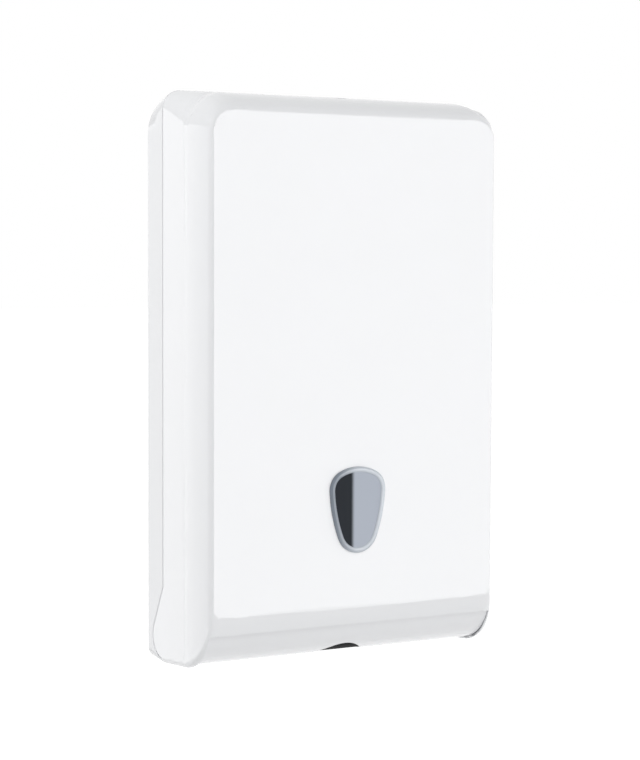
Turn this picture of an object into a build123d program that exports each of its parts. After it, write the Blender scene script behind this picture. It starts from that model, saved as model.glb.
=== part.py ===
"""Wall dispenser for folded paper towels, in millimetres.

The casing is one soft-cornered box that is split by a seam into a back shell and a front cover.
The cover swings down on two pins in the outlet tray and is held shut by a sprung latch at the top.

Frame: +X right, +Y into the wall, +Z up. The origin is the centre of the four wall screw holes,
on the wall plane. Heights below are measured up from the lowest edge and depths out from the wall.
"""

import os
from math import atan2, cos, degrees, hypot, radians, sin, sqrt, tan

from build123d import *

os.makedirs("parts", exist_ok=True)

# ---------------------------------------------------------------- casing
width = 262.0  # overall, left to right
height = 452.0  # overall, along the wall
depth = 106.0  # wall to front panel
wall = 2.8  # moulded wall thickness
back_thickness = 3.0
slope_angle = 5.3  # top and bottom close in towards the front
foot_depth = 25.0  # flat of the bottom before its slope starts
corner_at_wall = 26.0  # top corners, seen from the front
corner_at_seam = 15.0
corner_at_nose = 28.0
corner_at_panel = 15.0
low_corner_at_wall = 12.0  # bottom corners
low_corner_at_seam = 7.0
low_corner_at_panel = 6.0
nose_depth = 26.0  # how far back the front rounding reaches
nose_side = 7.3  # how far it narrows each side
nose_top = 13.0  # how far it lowers the top
nose_steps = 6
belly_radius = 45.0  # large bottom front rounding
over = 1.0  # by which cutting forms run past a face

# ---------------------------------------------------------------- seam between shell and cover
seam_depth = 28.0
seam_gap = 0.6
seam_bend_height = 61.5  # height where the straight seam turns into the slanted one
knuckle_depth = 25.5  # centre of the cheek's round heel
knuckle_height = 21.0
knuckle_radius = 17.0

# ---------------------------------------------------------------- hinge
hinge_depth = 40.0
hinge_height = 9.5
heel_radius = 17.0  # round the hinge axis, below the knuckle
pin_radius = 2.5
pin_head_radius = 4.0
pin_head_length = 1.6
pin_edge = 0.4
bush_wall = 1.45
bush_length = 5.6
hinge_side_gap = 0.6  # cover boss to tray end wall
pin_end_gap = 0.3
running_gap = 0.05  # radial, pin in bush and latch on its pin
fit_gap = 0.02  # radial, pressed and screwed pieces
boss_wall = 2.5

# ---------------------------------------------------------------- cover rim and cheeks
rim_height = 33.5
rim_wall = 2.0
rim_rebate = 5.0
cheek_lip = 2.2  # return lip of the cheek beyond its wall

# ---------------------------------------------------------------- outlet tray
tray_recess = 2.0  # tray face behind the cover's curve
tray_wall = 2.5
tray_side_gap = 0.5
tray_top_gap = 0.3
lap_recess = 1.6
lap_wall = 1.8
lap_height = 6.0
lap_end_gap = 3.0  # by which the lap is shorter than the tray at each end
end_wall_inset = 9.0  # outer face of the tray's end walls from the casing side
end_wall_rise = 28.0
pin_boss_length = 7.5
tray_back_gap = 0.4
slot_width = 200.0
slot_back = 17.0
slot_corner = 5.0
slot_margin = 1.0  # by which the shell's cutout is larger than the tray's slot
slot_overlap = 2.0
notch_width = 48.0
notch_reach = 29.5
tray_screw_depth = 10.0
tray_screw_spread = (60.0, 112.0)
tray_boss_radius = 4.0
tray_boss_height = 12.0

# ---------------------------------------------------------------- level window
window_width = 51.7  # between the flanks at their widest
window_height = 67.5
window_lift = 90.0
window_widest = 54.8  # above the window's base
window_top_radius = 38.0
window_flank_radius = 116.8
window_shoulder = 15.8  # rounding where the top meets the flanks
window_tip = 19.0
window_flange = 1.2
bead_rise = 1.0
bead_width = 3.4
bead_margin = 0.7
bead_edge = 0.4
plug_inset = 3.6
plug_gap = 0.15
plug_wall = 2.0
lens_thickness = 1.5
retainer_thickness = 1.6
retainer_margin = 2.4

# ---------------------------------------------------------------- latch
latch_depth = 50.0  # latch pin
latch_drop = 24.0  # latch pin below the top
latch_width = 14.0
latch_pin_radius = 1.5
latch_pin_stand = 0.8  # pin ends beyond the housing
latch_pin_edge = 0.3
latch_hub = 4.0
arm_thickness = 4.0
hook_reach = 28.0
hook_length = 5.0
hook_drop = 6.0
hook_chamfer = 3.0
hook_round = 1.0
press_reach = 24.0
press_pad = 8.0
press_rise = 2.0
rest_gap = 0.3
housing_gap = 1.5
housing_wall = 2.0
housing_plate_gap = 2.5  # above the hub
housing_half = 12.0  # plate, each way from the pin
housing_front = 20.0  # reach of the side walls and shelf in front of the pin
shelf_length = 12.0
stop_length = 3.0
housing_ear = 8.0
spring_radius = 3.2
spring_wire = 0.7
spring_turns = 5
spring_sides = 8  # straight runs in each turn
spring_reach = 14.0  # spring axis in front of the pin
spring_length = 9.0
spring_stud = 1.9
spring_stud_height = 2.0
strike_thickness = 1.5
strike_width = 32.0
strike_lap = 4.5  # how much the hook overlaps the strike lip
strike_clearance = 0.6
strike_flange = 22.0
strike_drop = 3.0  # shelf below the hook's tip
strike_bend = 0.8
strike_pad = 2.0
strike_screw_spread = 18.0
key_reach = 20.0  # key hole in front of the pin
key_radius = 6.0
key_flange = 8.0
key_flange_thickness = 1.2
key_slot_length = 8.0
key_slot_width = 3.0
key_tube = 9.0

# ---------------------------------------------------------------- fasteners and wall fixing
screw_radius = 1.5
screw_head_radius = 3.0
screw_head_height = 1.8
screw_head_edge = 0.5
screw_socket = 1.3
screw_socket_depth = 1.0
screw_clearance = 0.3
screw_end_gap = 0.3
strike_screw_length = 5.2
lock_screw_length = 8.5
tray_screw_length = 11.0
wall_hole_radius = 2.75
wall_hole_spacing_x = 150.0
wall_hole_spacing_z = 300.0
wall_boss_radius = 8.0
wall_boss_height = 2.5
rib_spread = (35.0, 105.0)
rib_thickness = 2.0
rib_depth = 4.0
rib_lift = 46.0
rib_drop = 50.0  # rib ends below the top

# ---------------------------------------------------------------- values that follow
slope = tan(radians(slope_angle))
lean = cos(radians(slope_angle))
nose_start = depth - nose_depth
belly_depth = depth - belly_radius
belly_height = belly_radius / lean + (belly_depth - foot_depth) * slope
belly_start = belly_depth + belly_radius * sin(radians(slope_angle))
latch_height = height - latch_drop
cheek_inner = width / 2 - wall - cheek_lip
bush_radius = pin_radius + bush_wall
tray_radius = belly_radius - tray_recess
tray_floor = belly_height - tray_radius
tray_half = cheek_inner - tray_side_gap
end_wall_outer = width / 2 - end_wall_inset


def level(above_base: float) -> float:
    """Model z of a height above the lowest edge."""
    return above_base - height / 2


def between(at: float, start: float, end: float, first: float, last: float) -> float:
    """Value that runs evenly from first at start to last at end, and stays level beyond them."""
    share = min(1.0, max(0.0, (at - start) / (end - start)))
    return first + (last - first) * share


# ---------------------------------------------------------------- casing form
def nose_turn(at: float, inset: float) -> float:
    """1 behind the front rounding, falling along an ellipse to 0 at the panel."""
    reach = max(0.0, at - nose_start) / (nose_depth - inset)
    return sqrt(max(0.0, 1.0 - reach**2))


def casing_half_width(at: float, inset: float) -> float:
    return width / 2 - inset - (nose_side - inset) * (1 - nose_turn(at, inset))


def casing_top(at: float, inset: float) -> float:
    drop = (nose_top - inset) * (1 - nose_turn(at, inset))
    return height - at * slope - inset / lean - drop


def casing_bottom(at: float, inset: float) -> float:
    radius = belly_radius - inset
    if at > belly_depth + radius * sin(radians(slope_angle)):
        return belly_height - sqrt(max(0.0, radius**2 - (at - belly_depth) ** 2))
    return inset / lean + max(0.0, at - foot_depth) * slope


def casing_corner(at: float, inset: float) -> float:
    if at < seam_depth:
        return between(at, 0, seam_depth, corner_at_wall, corner_at_seam) - inset
    body = between(at, seam_depth, nose_start, corner_at_seam, corner_at_nose) - inset
    return corner_at_panel + (body - corner_at_panel) * nose_turn(at, inset)


def casing_low_corner(at: float, inset: float) -> float:
    body = between(at, 0, seam_depth, low_corner_at_wall, low_corner_at_seam) - inset
    if at < nose_start:
        return body
    return low_corner_at_panel + (body - low_corner_at_panel) * nose_turn(at, inset)


def casing_section(at: float, inset: float) -> Sketch:
    """Front-view outline of the casing at one depth."""
    half = casing_half_width(at, inset)
    low = level(casing_bottom(at, inset))
    high = level(casing_top(at, inset))
    with BuildSketch(Plane.XZ.offset(at)) as section:
        with BuildLine():
            Polyline((-half, low), (half, low), (half, high), (-half, high), close=True)
        make_face()
        fillet(section.vertices().group_by(Axis.Y)[-1], radius=casing_corner(at, inset))
        fillet(section.vertices().group_by(Axis.Y)[0], radius=casing_low_corner(at, inset))
    return section.sketch


def casing_solid(inset: float) -> Part:
    """The whole casing as a filled form, pulled in by inset all round."""
    body = [casing_section(at, inset) for at in (0.0, foot_depth, seam_depth, belly_start)]
    turns = [radians(90 * step / nose_steps) for step in range(nose_steps + 1)]
    front = [nose_start + (nose_depth - inset) * sin(turn) for turn in turns]
    nose = [casing_section(at, inset) for at in [belly_start, *front]]
    with BuildPart() as form:
        loft(body, ruled=True)
        loft(nose)
    return form.part


def seam_region(shift: float) -> Part:
    """Everything behind the seam, with the seam moved forward by shift.

    Side view: straight down, slanted to the knuckle, round it, then round the hinge axis.
    """
    knuckle = (-knuckle_depth, level(knuckle_height))
    hinge = (-hinge_depth, level(hinge_height))
    turn = (-seam_depth, level(seam_bend_height))
    to_knuckle = atan2(knuckle[1] - turn[1], knuckle[0] - turn[0])
    span = hypot(knuckle[0] - turn[0], knuckle[1] - turn[1])
    slant = to_knuckle + atan2(knuckle_radius, sqrt(span**2 - knuckle_radius**2))
    # unit vector from the slanted seam towards the cover
    away = (sin(slant), -cos(slant))
    radius = knuckle_radius - shift
    touch = (knuckle[0] - radius * away[0], knuckle[1] - radius * away[1])
    start_y = -seam_depth - shift
    run = (start_y - turn[0] - shift * away[0]) / cos(slant)
    start_z = turn[1] + shift * away[1] + run * sin(slant)
    # where the knuckle circle meets the circle round the hinge axis
    heel = heel_radius - shift
    apart = hypot(knuckle[0] - hinge[0], knuckle[1] - hinge[1])
    line = atan2(knuckle[1] - hinge[1], knuckle[0] - hinge[0])
    along = (apart**2 + heel**2 - radius**2) / (2 * apart)
    swing = atan2(sqrt(heel**2 - along**2), along)
    heel_start = degrees(line - swing)
    meet = (
        hinge[0] + heel * cos(line - swing),
        hinge[1] + heel * sin(line - swing),
    )
    knuckle_start = degrees(atan2(touch[1] - knuckle[1], touch[0] - knuckle[0]))
    knuckle_end = degrees(atan2(meet[1] - knuckle[1], meet[0] - knuckle[0]))
    heel_end = degrees(atan2(-hinge_height - over, sqrt(heel**2 - (hinge_height + over) ** 2)))
    with BuildPart() as region:
        with BuildSketch(Plane.YZ):
            with BuildLine():
                top = Line((wall, level(height + wall)), (start_y, level(height + wall)))
                down = Line(top @ 1, (start_y, start_z))
                slanted = Line(down @ 1, touch)
                CenterArc(knuckle, radius, knuckle_start, knuckle_end - knuckle_start)
                end = CenterArc(hinge, heel, heel_start, heel_end - heel_start)
                Line(end @ 1, (wall, (end @ 1).Y))
                Line((wall, (end @ 1).Y), top @ 0)
            make_face()
        extrude(amount=width / 2 + wall, both=True)
    return region.part


outer_form = casing_solid(0.0)
inner_form = casing_solid(wall)


def finish(part: Part, label: str) -> Part:
    """Name a finished piece and write its file."""
    part.label = label
    export_step(part, f"parts/{label}.step")
    return part


# ---------------------------------------------------------------- shared shapes
def side(at: float, above: float) -> tuple:
    """Side-view point at a depth from the wall and a height above the lowest edge."""
    return (-at, level(above))


def drop_solid(inset: float, start: float, end: float) -> Part:
    """Drop outline, wide at the top, pulled in by inset, between two depths from the wall.

    One round top between two large flank circles, with both shoulders and the tip rounded.
    """
    top_radius = window_top_radius - inset
    top_middle = level(window_lift + window_height) - window_top_radius
    flank_middle = window_flank_radius - window_width / 2
    widest = level(window_lift + window_widest)
    with BuildSketch(Plane.XZ.offset(start)) as drop:
        with Locations((0, top_middle)):
            Circle(top_radius)
        with Locations((0, top_middle - window_height / 2)):
            Rectangle(2 * top_radius, window_height)
        for middle in (-flank_middle, flank_middle):
            with Locations((middle, widest)):
                Circle(window_flank_radius - inset, mode=Mode.INTERSECT)
        fillet(drop.vertices().group_by(Axis.Y)[-1], radius=window_shoulder - inset)
        fillet(drop.vertices().group_by(Axis.Y)[0], radius=window_tip - inset)
    with BuildPart() as block:
        extrude(drop.sketch, amount=end - start)
    return block.part


def x_cylinder(radius: float, start: float, end: float, at: float, above: float) -> Part:
    """Cylinder along X between two x values."""
    plane = Plane(origin=(start, -at, level(above)), x_dir=(0, 1, 0), z_dir=(1, 0, 0))
    with BuildPart() as bar:
        with BuildSketch(plane):
            Circle(radius)
        extrude(amount=end - start)
    return bar.part


def z_cylinder(radius: float, x: float, at: float, low: float, high: float) -> Part:
    """Upright cylinder between two heights."""
    plane = Plane(origin=(x, -at, level(low)))
    with BuildPart() as post:
        with BuildSketch(plane):
            Circle(radius)
        extrude(amount=high - low)
    return post.part


def slab(x: tuple, at: tuple, above: tuple) -> Part:
    """Box between two x values, two depths and two heights."""
    middle = ((x[0] + x[1]) / 2, -(at[0] + at[1]) / 2, level((above[0] + above[1]) / 2))
    with BuildPart() as block:
        with Locations(middle):
            Box(x[1] - x[0], at[1] - at[0], above[1] - above[0])
    return block.part


def both_sides(piece: Part) -> Part:
    """A piece together with its mirror image across the middle."""
    with BuildPart() as pair:
        add(piece)
        mirror(about=Plane.YZ)
    return pair.part


def belly_solid(radius: float, back: float, top: float, start: float, end: float) -> Part:
    """Filled form along X under a height, flat below and round about the belly's centre in front."""
    lift = belly_height - top
    low = belly_height - radius
    front = belly_depth + sqrt(radius**2 - lift**2)
    turn = degrees(atan2(front - belly_depth, lift))
    plane = Plane(origin=(start, 0, 0), x_dir=(0, 1, 0), z_dir=(1, 0, 0))
    with BuildPart() as form:
        with BuildSketch(plane):
            with BuildLine():
                Polyline(side(front, top), side(back, top), side(back, low), side(belly_depth, low))
                CenterArc(side(belly_depth, belly_height), radius, -90, -turn)
            make_face()
        extrude(amount=end - start)
    return form.part


def screw(seat: Plane, length: float) -> Part:
    """Socket screw. The seat's normal points at its head, and the shank goes the other way."""
    with BuildPart() as fastener:
        with BuildSketch(seat):
            Circle(screw_head_radius)
        extrude(amount=screw_head_height)
        chamfer(fastener.edges().sort_by(Axis(seat.origin, seat.z_dir))[-1], length=screw_head_edge)
        with BuildSketch(seat):
            Circle(screw_radius)
        extrude(amount=-length)
        with BuildSketch(seat.offset(screw_head_height)):
            RegularPolygon(radius=screw_socket, side_count=6)
        extrude(amount=-screw_socket_depth, mode=Mode.SUBTRACT)
    return fastener.part


# ---------------------------------------------------------------- fits shared by the pieces
shell_floor = wall / lean
clearance_radius = screw_radius + screw_clearance
band_back = belly_depth - slot_overlap
tray_screws_x = [side_sign * spread for side_sign in (-1, 1) for spread in tray_screw_spread]
hinge_face = end_wall_outer + hinge_side_gap
bush_end = hinge_face + bush_length
arm_bottom = latch_height - arm_thickness / 2
hook_bottom = arm_bottom - hook_drop
hook_front = latch_depth - hook_reach + hook_length
shelf_top = hook_bottom - strike_drop
strike_front = back_thickness + strike_pad
lip_back = hook_front + strike_clearance
strike_screw_height = shelf_top + strike_flange / 2
housing_inner = latch_width / 2 + housing_gap
housing_outer = housing_inner + housing_wall
plate_bottom = latch_height + latch_hub + housing_plate_gap
plate_top = plate_bottom + housing_wall
lock_screw_x = housing_outer + housing_ear / 2
spring_depth = latch_depth + spring_reach
spring_seat = arm_bottom - spring_length
key_depth = latch_depth + key_reach
key_plane = Plane(
    origin=(0, -key_depth, level(casing_top(key_depth, 0.0))),
    x_dir=(1, 0, 0),
    z_dir=(0, -sin(radians(slope_angle)), lean),
)

# ---------------------------------------------------------------- back shell
in_front_of_plate = slab((-width, width), (back_thickness, depth + over), (-over, height + over))
with BuildPart() as shell_hollow:
    add(inner_form)
    add(in_front_of_plate, mode=Mode.INTERSECT)

with BuildPart() as back_shell:
    add(outer_form)
    add(seam_region(0.0), mode=Mode.INTERSECT)
    add(shell_hollow.part, mode=Mode.SUBTRACT)
    for rib_x in rib_spread:
        rib_side = (rib_x - rib_thickness / 2, rib_x + rib_thickness / 2)
        rib = slab(rib_side, (back_thickness / 2, back_thickness + rib_depth), (rib_lift, height - rib_drop))
        add(both_sides(rib))
    with BuildSketch(Plane.XZ.offset(back_thickness / 2)):
        with GridLocations(wall_hole_spacing_x, wall_hole_spacing_z, 2, 2):
            Circle(wall_boss_radius)
    extrude(amount=back_thickness / 2 + wall_boss_height)
    with BuildSketch(Plane.XZ):
        with GridLocations(wall_hole_spacing_x, wall_hole_spacing_z, 2, 2):
            Circle(wall_hole_radius)
    extrude(amount=back_thickness + wall_boss_height, mode=Mode.SUBTRACT)
    # raised pad for the strike, with blind holes for its screws
    pad_half = strike_width / 2 + over
    pad_low = shelf_top - strike_thickness - over
    pad_height = (pad_low, pad_low + strike_flange + 2 * over)
    add(slab((-pad_half, pad_half), (back_thickness / 2, strike_front), pad_height))
    with BuildSketch(Plane.XZ.offset(strike_front)):
        with Locations((0, level(strike_screw_height))):
            with GridLocations(strike_screw_spread, 0, 2, 1):
                Circle(screw_radius + fit_gap)
    extrude(amount=-(strike_screw_length - strike_thickness + screw_end_gap), mode=Mode.SUBTRACT)
    # paper slot and the screw seats under the tray
    slot_side = slot_width / 2 + slot_margin
    add(
        slab((-slot_side, slot_side), (slot_back - slot_overlap, hinge_depth), (-over, shell_floor + over)),
        mode=Mode.SUBTRACT,
    )
    for screw_x in tray_screws_x:
        add(
            z_cylinder(clearance_radius, screw_x, tray_screw_depth, -over, shell_floor + over),
            mode=Mode.SUBTRACT,
        )
        add(
            z_cylinder(
                screw_head_radius + screw_clearance, screw_x, tray_screw_depth, -over, screw_head_height
            ),
            mode=Mode.SUBTRACT,
        )
finish(back_shell.part, "back_shell")

# ---------------------------------------------------------------- front cover
rebate_radius = belly_radius - rim_wall
boss_radius = bush_radius + boss_wall
rebate = belly_solid(
    rebate_radius, band_back, rim_height + rim_rebate, -cheek_inner, cheek_inner
)
hinge_boss = x_cylinder(boss_radius, hinge_face, bush_end + over, hinge_depth, hinge_height)
hinge_bore = x_cylinder(bush_radius, hinge_face, bush_end + fit_gap, hinge_depth, hinge_height)
lock_boss_top = casing_top(latch_depth, wall / 2)
lock_boss = z_cylinder(housing_ear / 2, lock_screw_x, latch_depth, plate_top, lock_boss_top)
lock_pilot = z_cylinder(
    screw_radius + fit_gap,
    lock_screw_x,
    latch_depth,
    plate_top,
    plate_bottom + lock_screw_length + screw_end_gap,
)
with BuildPart() as front_cover:
    add(outer_form)
    add(inner_form, mode=Mode.SUBTRACT)
    add(seam_region(seam_gap), mode=Mode.SUBTRACT)
    add(slab((-cheek_inner, cheek_inner), (0, depth), (-over, rim_height)), mode=Mode.SUBTRACT)
    add(rebate, mode=Mode.SUBTRACT)
    add(both_sides(hinge_boss))
    add(both_sides(hinge_bore), mode=Mode.SUBTRACT)
    add(both_sides(lock_boss))
    add(both_sides(lock_pilot), mode=Mode.SUBTRACT)
    add(drop_solid(plug_inset - plug_gap, depth - 2 * wall, depth + over), mode=Mode.SUBTRACT)
    with BuildSketch(key_plane):
        Circle(key_flange + fit_gap)
    extrude(amount=-key_flange_thickness - fit_gap, mode=Mode.SUBTRACT)
    with BuildSketch(key_plane):
        Circle(key_radius + fit_gap)
    extrude(amount=-2 * wall, mode=Mode.SUBTRACT)
finish(front_cover.part, "front_cover")

# ---------------------------------------------------------------- outlet tray
tray_top = rim_height - tray_top_gap
tray_back = back_thickness + tray_back_gap
floor_top = tray_floor + tray_wall
lap_radius = tray_radius - lap_recess
foot_top = shell_floor + tray_boss_height
tray_face = belly_solid(tray_radius, band_back, tray_top, -tray_half, tray_half)
behind_face = belly_solid(
    tray_radius - tray_wall, band_back - over, tray_top + over, -tray_half - over, tray_half + over
)
lap_half = tray_half - lap_end_gap
lap = belly_solid(lap_radius, band_back, rim_height + lap_height, -lap_half, lap_half)
behind_lap = belly_solid(
    lap_radius - lap_wall, band_back - over, rim_height + lap_height + over, -tray_half, tray_half
)
below_lap = slab((-width, width), (0, depth), (-over, tray_top - tray_wall))
end_wall = belly_solid(
    tray_radius - tray_wall / 2,
    tray_back,
    tray_floor + end_wall_rise,
    end_wall_outer - tray_wall,
    end_wall_outer,
)
pin_start = end_wall_outer - tray_wall - pin_boss_length
pin_boss = x_cylinder(
    pin_radius + boss_wall, pin_start, end_wall_outer - tray_wall / 2, hinge_depth, hinge_height
)
pin_bore = x_cylinder(
    pin_radius + fit_gap, pin_start, end_wall_outer, hinge_depth, hinge_height
)
with BuildPart() as lap_flange:
    add(lap)
    add(behind_lap, mode=Mode.SUBTRACT)
    add(below_lap, mode=Mode.SUBTRACT)

with BuildPart() as outlet_tray:
    add(tray_face)
    add(behind_face, mode=Mode.SUBTRACT)
    add(lap_flange.part)
    add(slab((-end_wall_outer, end_wall_outer), (tray_back, belly_depth + over), (tray_floor, floor_top)))
    add(both_sides(end_wall))
    for screw_x in tray_screws_x:
        add(
            z_cylinder(
                tray_boss_radius, screw_x, tray_screw_depth, shell_floor + fit_gap, foot_top
            )
        )
    for screw_x in tray_screws_x:
        add(
            z_cylinder(
                screw_radius + fit_gap,
                screw_x,
                tray_screw_depth,
                shell_floor,
                screw_head_height + tray_screw_length + screw_end_gap,
            ),
            mode=Mode.SUBTRACT,
        )
    # paper slot, and the finger notch in front of it
    slot_middle = -(slot_back + belly_depth) / 2
    with BuildSketch(Plane.XY.offset(level(tray_floor - over))):
        with Locations((0, slot_middle)):
            RectangleRounded(slot_width, belly_depth - slot_back, slot_corner)
        with Locations((0, -belly_depth + slot_overlap)):
            Ellipse(notch_width / 2, notch_reach)
        # room to push the hinge pins in from the slot
        with Locations((0, -hinge_depth)):
            Rectangle(2 * pin_start, 2 * (pin_head_radius + pin_end_gap))
    extrude(amount=rim_height - tray_floor, mode=Mode.SUBTRACT)
    add(both_sides(pin_boss))
    add(both_sides(pin_bore), mode=Mode.SUBTRACT)
finish(outlet_tray.part, "outlet_tray")

# ---------------------------------------------------------------- hinge pins and bushes
with BuildPart() as hinge_pin:
    add(x_cylinder(pin_radius, pin_start, bush_end - pin_end_gap, hinge_depth, hinge_height))
    chamfer(hinge_pin.edges().group_by(Axis.X)[-1], length=pin_edge)
    head = x_cylinder(
        pin_head_radius, pin_start - pin_head_length, pin_start, hinge_depth, hinge_height
    )
    add(head)
    chamfer(hinge_pin.edges().group_by(Axis.X)[0], length=pin_edge)

with BuildPart() as hinge_bush:
    add(x_cylinder(bush_radius - fit_gap, hinge_face, bush_end, hinge_depth, hinge_height))
    add(
        x_cylinder(pin_radius + running_gap, hinge_face, bush_end, hinge_depth, hinge_height),
        mode=Mode.SUBTRACT,
    )

with BuildPart() as hinge_pin_right:
    add(hinge_pin.part)
finish(hinge_pin_right.part, "hinge_pin_right")

with BuildPart() as hinge_pin_left:
    mirror(hinge_pin.part, about=Plane.YZ)
finish(hinge_pin_left.part, "hinge_pin_left")

with BuildPart() as hinge_bush_right:
    add(hinge_bush.part)
finish(hinge_bush_right.part, "hinge_bush_right")

with BuildPart() as hinge_bush_left:
    mirror(hinge_bush.part, about=Plane.YZ)
finish(hinge_bush_left.part, "hinge_bush_left")

# ---------------------------------------------------------------- level window
face_depth = depth + window_flange
plug_back = depth - wall - retainer_thickness
with BuildPart() as level_window:
    add(drop_solid(0.0, depth, face_depth))
    add(drop_solid(bead_margin, depth, face_depth + bead_rise))
    add(
        drop_solid(bead_margin + bead_width, face_depth, face_depth + bead_rise),
        mode=Mode.SUBTRACT,
    )
    chamfer(level_window.faces().sort_by(Axis.Y)[0].edges(), length=bead_edge)
    add(drop_solid(plug_inset, plug_back, depth))
    add(
        drop_solid(plug_inset + plug_wall, plug_back, face_depth - lens_thickness),
        mode=Mode.SUBTRACT,
    )
finish(level_window.part, "level_window")

with BuildPart() as window_retainer:
    add(drop_solid(plug_inset - retainer_margin, plug_back, plug_back + retainer_thickness))
    add(
        drop_solid(plug_inset - fit_gap, plug_back, plug_back + retainer_thickness),
        mode=Mode.SUBTRACT,
    )
finish(window_retainer.part, "window_retainer")

# ---------------------------------------------------------------- latch
arm_top = arm_bottom + arm_thickness
hook_back = latch_depth - hook_reach
press_front = latch_depth + press_reach
housing_far = latch_depth + housing_front
shelf_start = housing_far - shelf_length
with BuildPart() as latch_lever:
    with BuildSketch(Plane.YZ.offset(-latch_width / 2)) as lever_side:
        with BuildLine():
            Polyline(
                side(hook_back, arm_top),
                side(hook_back, hook_bottom + hook_chamfer),
                side(hook_back + hook_chamfer, hook_bottom),
                side(hook_front, hook_bottom),
                side(hook_front, arm_bottom),
                side(press_front, arm_bottom),
                side(press_front, arm_top + press_rise),
                side(press_front - press_pad, arm_top + press_rise),
                side(press_front - press_pad - press_rise, arm_top),
                close=True,
            )
        make_face()
        corner = Vector(*side(hook_front, arm_bottom))
        fillet(lever_side.vertices().sort_by_distance(corner)[0], radius=hook_round)
    extrude(amount=latch_width)
    add(x_cylinder(latch_hub, -latch_width / 2, latch_width / 2, latch_depth, latch_height))
    add(
        x_cylinder(
            latch_pin_radius + running_gap, -latch_width, latch_width, latch_depth, latch_height
        ),
        mode=Mode.SUBTRACT,
    )
finish(latch_lever.part, "latch_lever")

with BuildPart() as latch_pin:
    pin_half = housing_outer + latch_pin_stand
    add(x_cylinder(latch_pin_radius, -pin_half, pin_half, latch_depth, latch_height))
    chamfer(latch_pin.edges().group_by(Axis.X)[-1], length=latch_pin_edge)
    chamfer(latch_pin.edges().group_by(Axis.X)[0], length=latch_pin_edge)
finish(latch_pin.part, "latch_pin")

housing_start = latch_depth - housing_half
shelf_bottom = spring_seat - housing_wall
housing_side = slab(
    (housing_inner, housing_outer), (housing_start, housing_far), (shelf_bottom, plate_top)
)
ear_end = housing_outer + housing_ear
stop_start = spring_depth - stop_length * 2
with BuildPart() as lock_housing:
    add(both_sides(housing_side))
    add(
        slab(
            (-ear_end, ear_end), (housing_start, latch_depth + housing_half), (plate_bottom, plate_top)
        )
    )
    add(slab((-housing_outer, housing_outer), (shelf_start, housing_far), (shelf_bottom, spring_seat)))
    add(
        slab(
            (-housing_outer, housing_outer),
            (stop_start, stop_start + stop_length),
            (arm_top + rest_gap, plate_top),
        )
    )
    add(z_cylinder(spring_stud, 0, spring_depth, shelf_bottom, spring_seat + spring_stud_height))
    add(
        x_cylinder(
            latch_pin_radius + fit_gap, -housing_outer, housing_outer, latch_depth, latch_height
        ),
        mode=Mode.SUBTRACT,
    )
    add(
        both_sides(
            z_cylinder(clearance_radius, lock_screw_x, latch_depth, plate_bottom, plate_top)
        ),
        mode=Mode.SUBTRACT,
    )
finish(lock_housing.part, "lock_housing")

coil_radius = spring_radius - spring_wire / 2
coil_rise = spring_length - spring_wire - 4 * fit_gap
coil_base = level(spring_seat + 2 * fit_gap + spring_wire / 2)
coil_points = []
for step in range(spring_turns * spring_sides + 1):
    turn = radians(360 * step / spring_sides)
    climb = coil_rise * step / (spring_turns * spring_sides)
    coil_points.append(
        (coil_radius * cos(turn), coil_radius * sin(turn) - spring_depth, coil_base + climb)
    )
with BuildPart() as latch_spring:
    with BuildLine() as coil:
        Polyline(*coil_points)
    with BuildSketch(Plane(origin=coil.line @ 0, x_dir=(1, 0, 0), z_dir=coil.line % 0)):
        Rectangle(spring_wire, spring_wire)
    sweep(path=coil.line, transition=Transition.RIGHT)
finish(latch_spring.part, "latch_spring")

with BuildPart() as key_escutcheon:
    with BuildSketch(key_plane):
        Circle(key_flange)
    extrude(amount=-key_flange_thickness)
    with BuildSketch(key_plane):
        Circle(key_radius)
    extrude(amount=-key_tube)
    with BuildSketch(key_plane):
        SlotOverall(key_slot_length, key_slot_width)
    extrude(amount=-key_tube, mode=Mode.SUBTRACT)
finish(key_escutcheon.part, "key_escutcheon")

# ---------------------------------------------------------------- strike
strike_back = strike_front + fit_gap
shelf_under = shelf_top - strike_thickness
flange_top = shelf_under + strike_flange
lip_top = hook_bottom + strike_lap
lip_front = lip_back + strike_thickness
outer_bend = strike_bend + strike_thickness
with BuildPart() as strike_plate:
    with BuildSketch(Plane.YZ.offset(-strike_width / 2)) as strike_side:
        with BuildLine():
            Polyline(
                side(strike_back, flange_top),
                side(strike_back, shelf_under),
                side(lip_front, shelf_under),
                side(lip_front, lip_top),
                side(lip_back, lip_top),
                side(lip_back, shelf_top),
                side(strike_back + strike_thickness, shelf_top),
                side(strike_back + strike_thickness, flange_top),
                close=True,
            )
        make_face()
        for corner in (side(strike_back, shelf_under), side(lip_front, shelf_under)):
            near = strike_side.vertices().sort_by_distance(Vector(*corner))[0]
            fillet(near, radius=outer_bend)
        for corner in (side(lip_back, shelf_top), side(strike_back + strike_thickness, shelf_top)):
            near = strike_side.vertices().sort_by_distance(Vector(*corner))[0]
            fillet(near, radius=strike_bend)
    extrude(amount=strike_width)
    with BuildSketch(Plane.XZ.offset(strike_front)):
        with Locations((0, level(strike_screw_height))):
            with GridLocations(strike_screw_spread, 0, 2, 1):
                Circle(clearance_radius)
    extrude(amount=2 * strike_thickness, mode=Mode.SUBTRACT)
finish(strike_plate.part, "strike_plate")

# ---------------------------------------------------------------- screws
strike_face = strike_back + strike_thickness
with BuildPart() as strike_screws:
    for screw_x in (-strike_screw_spread / 2, strike_screw_spread / 2):
        seat = Plane(
            origin=(screw_x, -strike_face, level(strike_screw_height)),
            x_dir=(1, 0, 0),
            z_dir=(0, -1, 0),
        )
        add(screw(seat, strike_screw_length))
finish(strike_screws.part, "strike_screws")

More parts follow.
